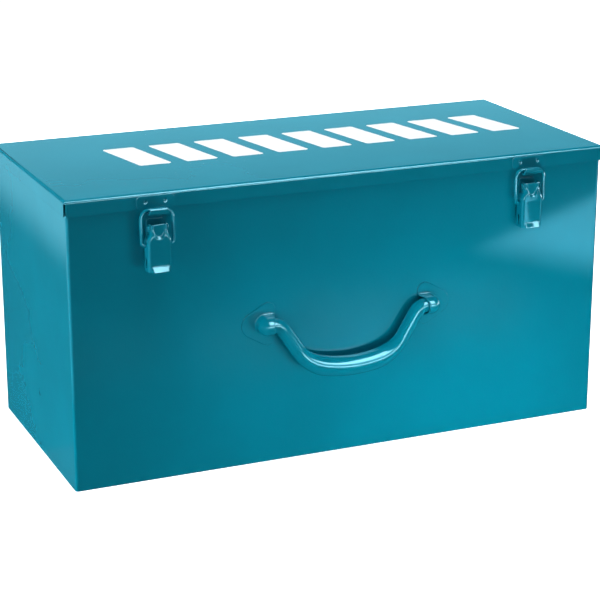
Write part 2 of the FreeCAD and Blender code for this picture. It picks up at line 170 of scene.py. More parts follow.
def printInk(look):
    # screen-printed white ink: flat, opaque and a little less glossy than the paint under it
    material, tree, shader = newMaterial("screen-printed white ink")
    place = node(tree, "ShaderNodeTexCoord")
    mottle = noise(tree, place, look["grainMm"], 2.0)
    tone = blend(tree, (mottle, "Fac"), hexToLinear(look["shade"]), hexToLinear(look["colour"]))
    tree.links.new(tone.outputs[2], shader.inputs["Base Color"])
    weave = node(tree, "ShaderNodeBump", links={"Height": (mottle, "Fac"), "Distance": look["reliefMm"] * mm})
    tree.links.new(weave.outputs[0], shader.inputs["Normal"])
    shader.inputs["Roughness"].default_value = look["roughness"]
    return material


whiteInk = printInk(inkLook)
print("materials made")


# mesh helpers
def gridFaces(rows, columns, closeRows=False, closeColumns=False, flip=False):
    # quads of a rows x columns grid of points, as one array
    r = np.arange(rows if closeRows else rows - 1)
    c = np.arange(columns if closeColumns else columns - 1)
    r, c = np.meshgrid(r, c, indexing="ij")
    r2, c2 = (r + 1) % rows, (c + 1) % columns
    corners = [r * columns + c, r * columns + c2, r2 * columns + c2, r2 * columns + c]
    quads = np.stack(corners, -1).reshape(-1, 4)
    return quads[:, ::-1] if flip else quads


def makePiece(name, points, faces, material, body, replaces, sharp=35.0, outward=False):
    # one mesh object from points (n, 3) and a list of face index rows
    mesh = bpy.data.meshes.new(name)
    mesh.from_pydata(np.asarray(points, float).tolist(), [], [list(map(int, face)) for face in faces])
    piece = bpy.data.objects.new(name, mesh)
    bpy.context.scene.collection.objects.link(piece)
    finishMesh(mesh, sharp, outward)
    mesh.materials.append(material)
    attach(piece, body)
    for nodeName in replaces:
        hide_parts(nodeName)
    return piece


weldDistance = 0.002 * mm


def finishMesh(mesh, sharp, outward):
    # joins points that meet, drops empty faces, and shades smooth except across edges above the sharp angle
    work = bmesh.new()
    work.from_mesh(mesh)
    bmesh.ops.remove_doubles(work, verts=work.verts, dist=weldDistance)
    bmesh.ops.dissolve_degenerate(work, edges=work.edges, dist=weldDistance / 4)
    if outward:
        bmesh.ops.recalc_face_normals(work, faces=work.faces)
    work.to_mesh(mesh)
    work.free()
    mesh.shade_smooth()
    mesh.set_sharp_from_angle(angle=math.radians(sharp))
    mesh.update()


def bevel(piece, width, segments=2, angle=40.0):
    modifier = piece.modifiers.new("edges", "BEVEL")
    modifier.width = width
    modifier.segments = segments
    modifier.limit_method = "ANGLE"
    modifier.angle_limit = math.radians(angle)
    modifier.harden_normals = False


def evenShading(piece):
    # large flat faces keep their own normals, so that they mirror as flat sheet
    modifier = piece.modifiers.new("flat faces", "WEIGHTED_NORMAL")
    modifier.mode = "FACE_AREA"
    modifier.weight = 50
    modifier.keep_sharp = True


def thicken(piece, thickness, offset=-1.0):
    modifier = piece.modifiers.new("sheet", "SOLIDIFY")
    modifier.thickness = thickness
    modifier.offset = offset
    modifier.use_even_offset = True
    modifier.use_quality_normals = True


def smooth(value):
    # 3t2 - 2t3 between 0 and 1
    t = np.clip(value, 0, 1)
    return t * t * (3 - 2 * t)


def roundedPath(corners, radii, closed=False, steps=8):
    # straight runs joined by tangent arcs; each arc has steps + 1 points.
    # arc point = corner + bisector pulled back so that the arc touches both runs
    corners = np.asarray(corners, float)
    count = len(corners)
    made = []
    for i in range(count):
        if not closed and i in (0, count - 1):
            made.append(corners[i][None])
            continue
        before, here, after = corners[i - 1], corners[i], corners[(i + 1) % count]
        back = (before - here) / np.linalg.norm(before - here)
        onward = (after - here) / np.linalg.norm(after - here)
        half = math.acos(np.clip(back @ onward, -1, 1)) / 2
        radius = radii[i]
        centre = here + (back + onward) / np.linalg.norm(back + onward) * radius / math.sin(half)
        first = here + back * radius / math.tan(half) - centre
        last = here + onward * radius / math.tan(half) - centre
        sweep = math.pi - 2 * half
        t = np.linspace(0, 1, steps + 1)[:, None]
        made.append(centre + (np.sin((1 - t) * sweep) * first + np.sin(t * sweep) * last) / math.sin(sweep))
    return np.concatenate(made)


def tangents(path):
    # unit directions along an open path by central differences
    ahead = np.concatenate([path[1:], path[-1:]])
    behind = np.concatenate([path[:1], path[:-1]])
    step = ahead - behind
    return step / np.linalg.norm(step, axis=1, keepdims=True)


def tube(path, radii, planeNormal, around=20):
    # round section carried along a flat path, its two ends closed:
    # point = centre + radius (cos angle * side + sin angle * planeNormal)
    direction = tangents(path)
    up = np.asarray(planeNormal, float)[None]
    side = np.cross(direction, up)
    side /= np.linalg.norm(side, axis=1, keepdims=True)
    angle = np.linspace(0, 2 * math.pi, around, endpoint=False)
    ring = np.cos(angle)[None, :, None] * side[:, None] + np.sin(angle)[None, :, None] * up[:, None]
    points = path[:, None] + np.asarray(radii)[:, None, None] * ring
    faces = gridFaces(len(path), around, closeColumns=True).tolist()
    last = (len(path) - 1) * around
    faces += [list(range(around))[::-1], list(range(last, last + around))]
    return points.reshape(-1, 3), faces


print("helpers ready")


# the case
caseShape = {
    "sheet": 1.0, "bend": 2.0, "tightestBend": 0.4, "rimRoll": 0.8, "hemDepth": 6.0, "hemThick": 2.2,
    "hemRound": 0.5, "hemEase": 0.3, "seamX": 7.15, "seamGap": 0.3, "lapHalf": 8.0, "lapBottom": 13.0,
    "lapShort": 0.2, "lapFit": 0.02, "holdPoint": 0.8, "edgeBevel": 0.15,
}


def roundedRectangle(halfX, halfY, radius, startX, gap, hold, steps=8):
    # open paths round a rectangle with round corners, from just past the seam round to just before it, seen
    # from above: straight runs and quarter circles. halfX, halfY and radius hold one value for each path, and
    # the result is (paths, points, 2). Each straight has one more point at the distance hold from its bends
    sweep = np.linspace(0, math.pi / 2, steps + 1)
    turns = []
    for quarter, (sx, sy) in enumerate([(1, 1), (1, -1), (-1, -1), (-1, 1)]):
        angle = math.pi / 2 - quarter * math.pi / 2 - sweep
        x = sx * (halfX - radius)[:, None] + radius[:, None] * np.cos(angle)
        y = sy * (halfY - radius)[:, None] + radius[:, None] * np.sin(angle)
        turns.append(np.stack([x, y], -1))
    start = np.stack([np.full(len(halfX), startX + gap / 2), halfY], -1)[:, None]
    end = np.stack([np.full(len(halfX), startX - gap / 2), halfY], -1)[:, None]
    held = []
    for turn in turns:
        first, last = turn[:, :1], turn[:, -1:]
        into, onward = turn[:, 1:2] - first, last - turn[:, -2:-1]
        before = first - into / np.linalg.norm(into, axis=-1, keepdims=True) * hold
        after = last + onward / np.linalg.norm(onward, axis=-1, keepdims=True) * hold
        held.append(np.concatenate([before, turn, after], 1))
    return np.concatenate([start, *held, end], 1)


def buildWalls():
    # the sheet's cross-section (inset, height), rolled inwards at the rim, carried round the rectangle
    s = caseShape
    rim = (wallHigh.z - wallLow.z) / mm
    halfX, halfY = (wallHigh.x - wallLow.x) / mm / 2, (wallHigh.y - wallLow.y) / mm / 2
    arc = np.linspace(0, math.pi / 2, 6)
    roll = s["rimRoll"]
    outer = np.stack([roll - roll * np.cos(arc), rim - roll + roll * np.sin(arc)], -1)
    inner = np.stack([s["hemThick"] - roll + roll * np.sin(arc), rim - roll + roll * np.cos(arc)], -1)
    hem = rim - s["hemDepth"]
    tail = [[s["hemThick"], hem + s["hemRound"]], [s["hemThick"] - s["hemRound"], hem],
            [s["sheet"] + s["hemEase"], hem], [s["sheet"], hem - s["hemEase"]], [s["sheet"], 0.0]]
    profile = np.concatenate([[[0.0, 0.0]], outer, inner, tail])
    inset, height = profile[:, 0], profile[:, 1]
    path = roundedRectangle(halfX - inset, halfY - inset, np.maximum(s["bend"] - inset, s["tightestBend"]),
                            s["seamX"], s["seamGap"], s["holdPoint"])
    rows, columns = path.shape[:2]
    points = np.concatenate([path, np.repeat(height[:, None, None], columns, 1)], -1).reshape(-1, 3)
    faces = gridFaces(rows, columns, closeRows=True).tolist()
    faces += [[r * columns for r in range(rows)], [r * columns + columns - 1 for r in range(rows)][::-1]]
    # the inner lap behind the seam, a flat strip with its own thickness
    lap = slab((-s["lapHalf"], halfY - 2 * s["sheet"], s["lapBottom"]),
               (s["lapHalf"], halfY - s["sheet"] - s["lapFit"], hem - s["lapShort"]))
    faces += [[index + len(points) for index in face] for face in lap[1]]
    points = np.concatenate([points, lap[0]])
    walls = makePiece("case_walls", points * mm, faces, panelEnamel, "case", ["body_wall"],
                      outward=True)
    bevel(walls, s["edgeBevel"] * mm)
    evenShading(walls)


def slab(low, high):
    # the eight corners of a flat strip and its six sides
    low, high = np.asarray(low, float), np.asarray(high, float)
    pick = np.array([[i, j, k] for k in (0, 1) for j in (0, 1) for i in (0, 1)])
    points = low + (high - low) * pick
    return points, [[0, 2, 3, 1], [4, 5, 7, 6], [0, 1, 5, 4], [2, 6, 7, 3], [0, 4, 6, 2], [1, 3, 7, 5]]


buildWalls()
print("walls built")

# the lid
lidShape = {"sheet": 1.0, "bend": 2.2, "slit": 1.7, "relief": 1.3, "innerRow": 12.0, "holdPoint": 0.6,
            "edgeBevel": 0.15}


def buildLid():
    # four mitred sectors. A row has an inset t from the outer edge and a height z. It ends at half - t, but
    # on the skirt it stops short of the corner by the slit, which opens along a quarter ellipse
    s = lidShape
    top = lidHigh.z / mm
    halfX, halfY = (lidHigh.x - lidLow.x) / mm / 2, (lidHigh.y - lidLow.y) / mm / 2
    skirt = lidLow.z / mm
    arc = np.linspace(0, math.pi / 2, 9)
    down = np.linspace(0, 1, 7)[1:]
    zRelief = top - s["bend"] - s["relief"] * down
    cutRelief = s["slit"] * np.sqrt(1 - (1 - down) ** 2)
    tails = np.array([[skirt + s["holdPoint"], s["slit"]], [skirt, s["slit"]]])
    skirtRows = np.concatenate([np.stack([zRelief, cutRelief], -1), tails])
    flat = np.array([halfY, halfY * 0.5, s["innerRow"], s["bend"] + s["holdPoint"]])

    def side(outer):
        # rows from the ridge down to the skirt's edge: inset, height, slit
        shift = 0 if outer else s["sheet"]
        radius = s["bend"] - shift
        bendT = s["bend"] - radius * np.sin(arc)
        bendZ = top - s["bend"] + radius * np.cos(arc)
        t = np.concatenate([flat, bendT, np.full(len(skirtRows), shift)])
        z = np.concatenate([np.full(len(flat), top - shift), bendZ, skirtRows[:, 0]])
        cut = np.concatenate([np.zeros(len(flat) + len(bendT)), skirtRows[:, 1]])
        return t, z, cut

    outerRows, innerRows = side(True), side(False)
    columns = 3
    v = np.linspace(-1, 1, columns)
    allPoints, allFaces = [], []
    for facing in range(4):
        along, across = (halfX, halfY) if facing % 2 == 0 else (halfY, halfX)
        t, z, cut = [np.concatenate([o, i[::-1]]) for o, i in zip(outerRows, innerRows)]
        length = along - np.maximum(t, cut)
        x = length[:, None] * v
        y = np.repeat((-(across - t))[:, None], columns, 1)
        turn = math.pi / 2 * facing
        world = np.stack([x * math.cos(turn) - y * math.sin(turn), x * math.sin(turn) + y * math.cos(turn),
                          np.repeat(z[:, None], columns, 1)], -1)
        rows = len(t)
        faces = gridFaces(rows, columns).tolist()
        start = len(flat) + len(arc) - 1           # the last row of the bend
        for k in range(start, rows // 2 - 1):
            other = rows - 1 - k
            for column in (0, columns - 1):
                cap = [k * columns + column, (k + 1) * columns + column, (other - 1) * columns + column,
                       other * columns + column]
                faces.append(cap if column else cap[::-1])
        offset = sum(len(p) for p in allPoints)
        allPoints.append(world.reshape(-1, 3))
        allFaces += [[index + offset for index in face] for face in faces]
    lid = makePiece("lid_pan", np.concatenate(allPoints) * mm, allFaces, panelEnamel, "lid",
                    ["lid_panel"], outward=True)
    bevel(lid, s["edgeBevel"] * mm)
    evenShading(lid)


buildLid()
print("lid built")

# the drop handle
handleShape = {
    "legRadius": 5.9, "gripRadius": 8.3, "upperBend": 11.0, "legAngle": 57.0, "legStraight": 20.8,
    "lowerBend": 38.0, "gripBend": 110.0, "gripSlope": 12.0, "tilt": 3.3, "endX": 71.0, "tipAngle": 0.05,
    "around": 48,
}


def buildHandle():
    # centre line of arcs and straights in a leaning plane; the radius swells from the legs to the grip by a
    # smooth step, and the ends are half round: the leg's radius times the sine of the angle
    s = handleShape
    steep, shallow = math.radians(s["legAngle"]), math.radians(s["gripSlope"])
    gripX = s["gripBend"] * math.sin(shallow)
    bendX = gripX + s["lowerBend"] * (math.sin(steep) - math.sin(shallow))
    legX = bendX + s["legStraight"] * math.cos(steep)
    startX = legX + s["upperBend"] * math.sin(steep)
    legZ = -s["upperBend"] * (1 - math.cos(steep))
    bendZ = legZ - s["legStraight"] * math.sin(steep)
    gripZ = bendZ - s["lowerBend"] * (math.cos(shallow) - math.cos(steep))
    r = s["legRadius"]
    capAngle = np.linspace(s["tipAngle"], math.pi / 2, 9)
    cap = np.stack([s["endX"] + r * np.cos(capAngle), 0 * capAngle], -1)
    capRadius = r * np.sin(capAngle)
    straight = np.array([[(s["endX"] + startX) / 2, 0.0]])
    turn = np.linspace(0, steep, 15)
    upper = np.stack([startX - s["upperBend"] * np.sin(turn), -s["upperBend"] * (1 - np.cos(turn))], -1)
    along = np.linspace(0, 1, 9)[1:-1, None]
    leg = np.array([legX, legZ]) + along * (np.array([bendX, bendZ]) - np.array([legX, legZ]))
    slope = np.linspace(steep, shallow, 25)
    lower = np.stack([gripX + s["lowerBend"] * (np.sin(slope) - math.sin(shallow)),
                      bendZ - s["lowerBend"] * (np.cos(slope) - math.cos(steep))], -1)
    share = np.linspace(0, 1, 25)
    lowerRadius = r + (s["gripRadius"] - r) * smooth(share)
    slope = np.linspace(shallow, 0, 13)[1:]
    grip = np.stack([s["gripBend"] * np.sin(slope),
                     gripZ + s["gripBend"] * (math.cos(shallow) - np.cos(slope))], -1)
    half = np.concatenate([cap, straight, upper, leg, lower, grip])
    radii = np.concatenate([capRadius, [r], np.full(len(upper) + len(leg), r), lowerRadius,
                            np.full(len(grip), s["gripRadius"])])
    line = np.concatenate([half, (half * [-1, 1])[:-1][::-1]])
    radii = np.concatenate([radii, radii[:-1][::-1]])
    path = np.stack([line[:, 0], np.zeros(len(line)), line[:, 1]], -1)
    points, faces = tube(path, radii, (0, 1, 0), s["around"])
    tilt = math.radians(s["tilt"])
    turned = np.stack([points[:, 0], points[:, 1] * math.cos(tilt) + points[:, 2] * math.sin(tilt),
                       -points[:, 1] * math.sin(tilt) + points[:, 2] * math.cos(tilt)], -1)
    pivot = np.array(joints["handle_swing"]["pos_m"]) / mm
    makePiece("drop_handle", (turned + pivot) * mm, faces, fittingEnamel, "handle",
              ["handle"], sharp=60.0, outward=True)


buildHandle()
print("handle built")

# the handle's brackets
bracketShape = {
    "sheet": 1.0, "innerX": 62.5, "side": 45.5, "corner": 6.5, "apexCorner": 10.5, "radius": 7.55,
    "endX": 72.0, "mouthWallX": 63.0, "mouthFrontX": 70.0, "mouthFront": 20.0, "foot": 1.3, "rimRound": 0.35,
    "rimCentre": 14.0, "wallFit": 0.02, "flatRows": (0.34, 0.67), "skin": 0.95,
}


def buildBracket(side):
    # the socket is a plan outline (two straights and a half circle) carried inwards and out of the wall by a
    # profile: foot fillet, upright side, quarter circle to the centre line. The plate is ruled from the foot
    # to a rounded triangle. Everything is drawn for the right-hand bracket and mirrored by x -> -x
    s = bracketShape
    centreZ = joints["handle_swing"]["pos_m"][2] / mm
    pivotOut = (frontY - joints["handle_swing"]["pos_m"][1]) / mm
    arc = np.linspace(0, math.pi / 2, 7)
    foot = np.stack([-s["foot"] + s["foot"] * np.sin(arc),
                     s["sheet"] + s["foot"] - s["foot"] * np.cos(arc)], -1)
    rise = np.linspace(0, math.pi / 2, 15)
    crown = np.stack([s["radius"] * (1 - np.cos(rise)), pivotOut + s["radius"] * np.sin(rise)], -1)
    profile = np.concatenate([foot, crown])
    straight = np.linspace(0, 1, 5)
    angle = np.linspace(math.pi / 2, -math.pi / 2, 25)
    inset, out = profile[:, 0][:, None], profile[:, 1][:, None]
    mouth = s["mouthWallX"] + (s["mouthFrontX"] - s["mouthWallX"]) * out / s["mouthFront"]
    reach = s["radius"] - inset
    upperX = mouth + (s["endX"] - mouth) * straight[None, :]
    upperZ = np.repeat(reach, len(straight), 1)
    roundX = s["endX"] + reach * np.cos(angle)[None, 1:-1]
    roundZ = reach * np.sin(angle)[None, 1:-1]
    x = np.concatenate([upperX, roundX, upperX[:, ::-1]], 1)
    z = np.concatenate([upperZ, roundZ, -upperZ[:, ::-1]], 1)
    columns = x.shape[1]
    socket = np.stack([x, np.repeat(out, columns, 1), z], -1)
    # the plate's outline: from the inner edge above the mouth, round the triangle, to the edge below it
    half = s["side"] / 2
    apexX = s["innerX"] + s["side"] * math.sin(math.radians(60))
    corners = [(s["innerX"], s["radius"] + s["foot"]), (s["innerX"], half), (apexX, 0.0),
               (s["innerX"], -half), (s["innerX"], -s["radius"] - s["foot"])]
    outline = roundedPath(corners, [0, s["corner"], s["apexCorner"], s["corner"], 0], steps=16)
    length = np.concatenate([[0], np.cumsum(np.linalg.norm(np.diff(outline, axis=0), axis=1))])
    inner = socket[0][:, [0, 2]]
    along = np.concatenate([[0], np.cumsum(np.linalg.norm(np.diff(inner, axis=0), axis=1))])
    where = along / along[-1] * length[-1]
    edge = np.stack([np.interp(where, length, outline[:, k]) for k in (0, 1)], -1)
    shrink = edge - np.array([s["innerX"] + s["rimCentre"], 0.0])
    shrink = edge - s["rimRound"] * shrink / np.linalg.norm(shrink, axis=1, keepdims=True)
    rim = [(shrink, s["sheet"]), (edge, s["sheet"] - s["rimRound"]), (edge, s["wallFit"])]
    plate = [np.stack([flat[:, 0], np.full(columns, height), flat[:, 1]], -1) for flat, height in rim[::-1]]
    ruled = [np.stack([shrink[:, 0] + (inner[:, 0] - shrink[:, 0]) * k, np.full(columns, s["sheet"]),
                       shrink[:, 1] + (inner[:, 1] - shrink[:, 1]) * k], -1) for k in s["flatRows"]]
    grid = np.concatenate([np.stack(plate), np.stack(ruled), socket])
    rows = grid.shape[0]
    points = grid.reshape(-1, 3)
    points = np.stack([sides[side] * points[:, 0], frontY / mm - points[:, 1], points[:, 2] + centreZ], -1)
    faces = gridFaces(rows, columns, flip=sides[side] > 0)
    bracket = makePiece("handle_bracket_plate_" + side, points * mm, faces, fittingEnamel, "case",
                        ["handle_bracket_" + side], sharp=40.0)
    thicken(bracket, s["skin"] * s["sheet"] * mm)
    evenShading(bracket)


for side in sides:
    buildBracket(side)
print("brackets built")

# the draw latches
# heights are measured from the lever's pivot, "out" is measured from the front wall, in millimetres
leverShape = {
    "sheet": 1.0, "top": 3.2, "neckHalf": 7.2, "bodyHalf": 9.5, "shoulderTop": -3.5, "shoulder": -10.0,
    "bottom": -33.4, "neckOut": 10.4, "bodyOut": 11.6, "neckBack": 4.8, "bodyBack": 2.2, "corner": 2.0,
    "tongueDrop": -7.2, "tongueHalf": 5.2, "tongueDepth": 0.35, "tongueSlope": 2.2, "hollow": 0.28,
    "slotOut": 6.5, "slotHeight": -27.0, "slotLength": 8.2, "slotWidth": 3.0,
    "lipTop": -29.5, "lipHalf": 7.2, "lipOut": 14.2, "lipSide": 0.9,
    "frontTop": -0.5, "frontRun": 6.5, "hollowTop": -6.0, "hollowRun": 6.0, "tongueTop": 0.8,
    "tongueReach": 1.3, "tongueSquareness": 3.2, "edgeEase": 1.4, "slotPull": 0.44, "skin": 0.9,
    "edgeBevel": 0.18,
}
bailShape = {
    "wire": 1.4, "halfWidth": 12.9, "barOut": 5.0, "barRise": 27.1, "topCorner": 7.0, "bottomCorner": 3.0,
    "pinInner": 7.9,
}
keeperShape = {
    "half": 15.2, "sheet": 1.0, "corner": 3.0, "hookHalf": 7.75, "hookBend": 2.8, "hookOut": 10.5,
    "hookFloor": 0.9, "hookRise": 4.3, "overhang": 2.0, "weldX": 7.9, "weldDrop": 4.1, "weldRadius": 1.7,
    "weldDepth": 0.6, "rootWider": 0.6, "rootStep": 0.02, "tipShort": 0.4, "tipNarrower": 1.2,
    "tipShare": 0.1, "bendSpare": 0.1, "skin": 0.94, "edgeBevel": 0.32,
}


def buildLever(side):
    # rows go down the lever, columns go round its channel: flange, rounded corner, front, corner, flange.
    # The front stands at neckOut or bodyOut with a smooth step along a tongue-shaped line between them
    s = leverShape
    pivot = np.array(joints["lever_" + side + "_pivot"]["pos_m"]) / mm
    rows = np.concatenate([np.linspace(s["top"], s["shoulder"], 23),
                           np.linspace(s["shoulder"], s["lipTop"], 28)[1:],
                           np.linspace(s["lipTop"], s["bottom"], 8)[1:]])
    z = rows[:, None]
    shoulder = smooth((s["shoulderTop"] - z) / (s["shoulderTop"] - s["shoulder"]))
    half = s["neckHalf"] + (s["bodyHalf"] - s["neckHalf"]) * shoulder
    back = s["neckBack"] + (s["bodyBack"] - s["neckBack"]) * shoulder
    front = s["neckOut"] + (s["bodyOut"] - s["neckOut"]) * smooth((s["frontTop"] - z) / s["frontRun"])
    corner = s["corner"]
    flange = np.linspace(0, 1, 12)[None, :-1]
    arc = np.linspace(0, math.pi / 2, 7)[None, :]
    flat = np.linspace(-1, 1, 31)[None, 1:-1]
    flangeOut = back + (front - corner - back) * flange
    xLeft = np.concatenate([np.repeat(-half, flange.shape[1], 1), -half + corner * (1 - np.cos(arc))], 1)
    outLeft = np.concatenate([flangeOut, front - corner + corner * np.sin(arc)], 1)
    xFlat = (half - corner) * flat
    # the tongue: the neck's lower surface dips into the body along a rounded line
    across = np.clip(np.abs(xFlat) / s["tongueHalf"], 0, s["tongueReach"])
    line = s["tongueDrop"] + (s["tongueTop"] - s["tongueDrop"]) * across ** s["tongueSquareness"]
    above = smooth((z - line) / s["tongueSlope"] + 0.5)
    # the front is slightly hollow and eases into the corner's own height
    hollow = s["hollow"] * (1 - (xFlat / (s["bodyHalf"] - corner)) ** 2)
    raised = s["bodyOut"] - hollow * smooth((s["hollowTop"] - z) / s["hollowRun"])
    low = s["neckOut"] - s["tongueDepth"]
    edge = smooth(1.0 - (half - corner - np.abs(xFlat)) / s["edgeEase"])
    outFlat = (raised + (low - raised) * above) * (1 - edge) + front * edge
    # the lip: below its fold the front slopes outwards, with steep sides
    pressed = smooth((s["lipHalf"] - np.abs(xFlat)) / s["lipSide"])
    fall = np.clip((s["lipTop"] - z) / (s["lipTop"] - s["bottom"]), 0, 1)
    outFlat = outFlat + (s["lipOut"] - s["bodyOut"]) * pressed * fall
    x = np.concatenate([xLeft, xFlat, -xLeft[:, ::-1]], 1)
    out = np.concatenate([outLeft, outFlat, outLeft[:, ::-1]], 1)
    columns = x.shape[1]
    height = np.repeat(z, columns, 1)
    # the slot in each flange: rows and columns near its edge move on to it, and what lies inside is left out
    rim = s["slotWidth"] / 2
    run = (s["slotLength"] - s["slotWidth"]) / 2
    isFlange = np.zeros(columns, bool)
    isFlange[:flange.shape[1]] = isFlange[-flange.shape[1]:] = True
    dz = height - s["slotHeight"]
    axis = np.clip(dz, -run, run)
    dOut, dHeight = out - s["slotOut"], dz - axis
    distance = np.hypot(dOut, dHeight)
    near = isFlange[None, :] & (np.abs(distance - rim) < s["slotPull"])
    scale = np.where(near, rim / np.maximum(distance, 1e-6), 1.0)
    out = s["slotOut"] + dOut * scale
    height = s["slotHeight"] + axis + dHeight * scale
    faces = gridFaces(len(rows), columns)
    centreOut = out.reshape(-1)[faces].mean(1) - s["slotOut"]
    centreDz = height.reshape(-1)[faces].mean(1) - s["slotHeight"]
    inSlot = np.hypot(centreOut, centreDz - np.clip(centreDz, -run, run)) < rim
    faces = faces[~(inSlot & isFlange[faces % columns].all(1))][:, ::-1]
    points = np.stack([x, out, height], -1).reshape(-1, 3)
    placed = np.stack([points[:, 0] + pivot[0], frontY / mm - points[:, 1], points[:, 2] + pivot[2]], -1)
    lever = makePiece("latch_handle_" + side, placed * mm, faces.tolist(), fittingEnamel, "lever_" + side,
                      ["latch_lever_" + side], sharp=50.0)
    thicken(lever, s["sheet"] * s["skin"] * mm)
    bevel(lever, s["edgeBevel"] * mm, angle=55.0)
    evenShading(lever)


def buildBail(side):
    # round wire along a rounded loop that leans slightly into the keeper's hook
    s = bailShape
    pivot = np.array(joints["bail_" + side + "_pivot"]["pos_m"]) / mm
    rise, lean = s["barRise"], (frontY / mm - s["barOut"]) - pivot[1]
    corners = [(-s["pinInner"], 0), (-s["halfWidth"], 0), (-s["halfWidth"], rise), (s["halfWidth"], rise),
               (s["halfWidth"], 0), (s["pinInner"], 0)]
    radii = [0, s["bottomCorner"], s["topCorner"], s["topCorner"], s["bottomCorner"], 0]
    line = roundedPath(corners, radii, steps=12)
    up = np.array([0.0, lean / rise, 1.0])
    path = pivot + line[:, :1] * [1.0, 0, 0] + line[:, 1:] * up
    across = np.cross([1.0, 0, 0], up)
    points, faces = tube(path, np.full(len(path), s["wire"]), across / np.linalg.norm(across), 20)
    makePiece("latch_loop_" + side, points * mm, faces, fittingEnamel, "bail_" + side,
              ["latch_bail_" + side], sharp=60.0, outward=True)


def buildKeeper(side):
    # one strip: a plate with round corners, then the narrower hook that curls down, out and up.
    # Rows follow the strip's length, each with its own half width. Two weld dimples sink as cosine bells
    s = keeperShape
    low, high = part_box("latch_keeper_" + side)
    middle = (low.x + high.x) / 2 / mm
    top, lidEdge = high.z / mm, lidLow.z / mm
    mid = s["overhang"] + s["sheet"] / 2
    barZ = joints["bail_" + side + "_pivot"]["pos_m"][2] / mm + bailShape["barRise"]
    floor = barZ - bailShape["wire"] - s["hookFloor"] - s["sheet"] / 2
    c = s["corner"]
    arc = np.linspace(0, math.pi / 2, 8)
    upright = np.linspace(top - c, lidEdge + c, 7)[1:-1]
    plateZ = np.concatenate([top - c + c * np.cos(arc), upright, lidEdge + c - c * np.sin(arc[:-1]),
                             [lidEdge + s["rootStep"], lidEdge]])
    plateHalf = np.concatenate([s["half"] - c + c * np.sin(arc), np.full(len(upright), s["half"]),
                                s["half"] - c + c * np.cos(arc[:-1]),
                                [s["hookHalf"] + s["rootWider"], s["hookHalf"]]])
    firstBend = min(s["hookBend"], lidEdge - floor - s["bendSpare"])
    spine = roundedPath([(mid, lidEdge), (mid, floor), (s["hookOut"], floor),
                         (s["hookOut"], floor + s["hookFloor"] + s["hookRise"] - s["tipShort"])],
                        [0, firstBend, s["hookBend"], 0], steps=9)[1:]
    ends = np.linspace(0, 1, len(spine))
    hookHalf = s["hookHalf"] - s["tipNarrower"] * smooth((ends - 1 + s["tipShare"]) / s["tipShare"])
    outLine = np.concatenate([np.full(len(plateZ), mid), spine[:, 0]])
    zLine = np.concatenate([plateZ, spine[:, 1]])
    halfLine = np.concatenate([plateHalf, hookHalf])
    v = np.linspace(-1, 1, 61)
    x = halfLine[:, None] * v
    z = np.repeat(zLine[:, None], len(v), 1)
    out = np.repeat(outLine[:, None], len(v), 1)
    distance = np.hypot(np.abs(x) - s["weldX"], z - (top - s["weldDrop"]))
    dimple = np.where(distance < s["weldRadius"], 0.5 + 0.5 * np.cos(np.pi * distance / s["weldRadius"]), 0)
    onPlate = np.arange(len(zLine))[:, None] < len(plateZ)
    out = out - s["weldDepth"] * dimple * onPlate
    points = np.stack([x + middle, frontY / mm - out, z], -1).reshape(-1, 3)
    keeper = makePiece("latch_keeper_plate_" + side, points * mm, gridFaces(len(zLine), len(v), flip=True),
                       fittingEnamel, "lid", ["latch_keeper_" + side], sharp=50.0)
    thicken(keeper, s["sheet"] * s["skin"] * mm, offset=0.0)
    bevel(keeper, s["edgeBevel"] * mm, segments=3, angle=55.0)
    evenShading(keeper)


rivetShape = {"shank": 1.2, "head": 0.9, "crown": 0.7}
hingePinShape = {"shank": 1.5, "head": 1.0, "crown": 0.8}
lastDomeRing = 0.995           # share of the dome's height at which its small flat end starts


def revolved(profile, steps=28):
    # profile of (distance along x, radius) turned about the X axis, its two ends closed by flat faces
    angle = np.linspace(0, 2 * math.pi, steps, endpoint=False)
    profile = np.asarray(profile, float)
    along, radius = profile[:, :1], profile[:, 1:]
    points = np.stack([np.repeat(along, steps, 1), radius * np.cos(angle), radius * np.sin(angle)], -1)
    faces = gridFaces(len(profile), steps, closeColumns=True).tolist()
    last = (len(profile) - 1) * steps
    faces += [list(range(steps))[::-1], list(range(last, last + steps))]
    return points.reshape(-1, 3), faces


def headedPin(nodeName, shape, name):
    # a pin along X with a domed head at each end; the dome's radius falls as the root of (1 - t2)
    low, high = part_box(nodeName)
    half = (high.x - low.x) / 2 / mm
    centre = np.array(((low + high) / 2)[:]) / mm
    headRadius = (high.y - low.y) / 2 / mm
    t = np.linspace(0, lastDomeRing, 7)
    dome = np.stack([half - shape["crown"] + shape["crown"] * t, headRadius * np.sqrt(1 - t ** 2)], -1)
    underHead = half - shape["head"]
    shank = [[0.0, shape["shank"]], [underHead, shape["shank"]], [underHead, headRadius]]
    profile = np.concatenate([shank, dome])
    profile = np.concatenate([(profile * [-1, 1])[1:][::-1], profile])
    points, faces = revolved(profile)
    makePiece(name, (points + centre) * mm, faces, fittingEnamel, "case", [nodeName], sharp=40.0,
              outward=True)


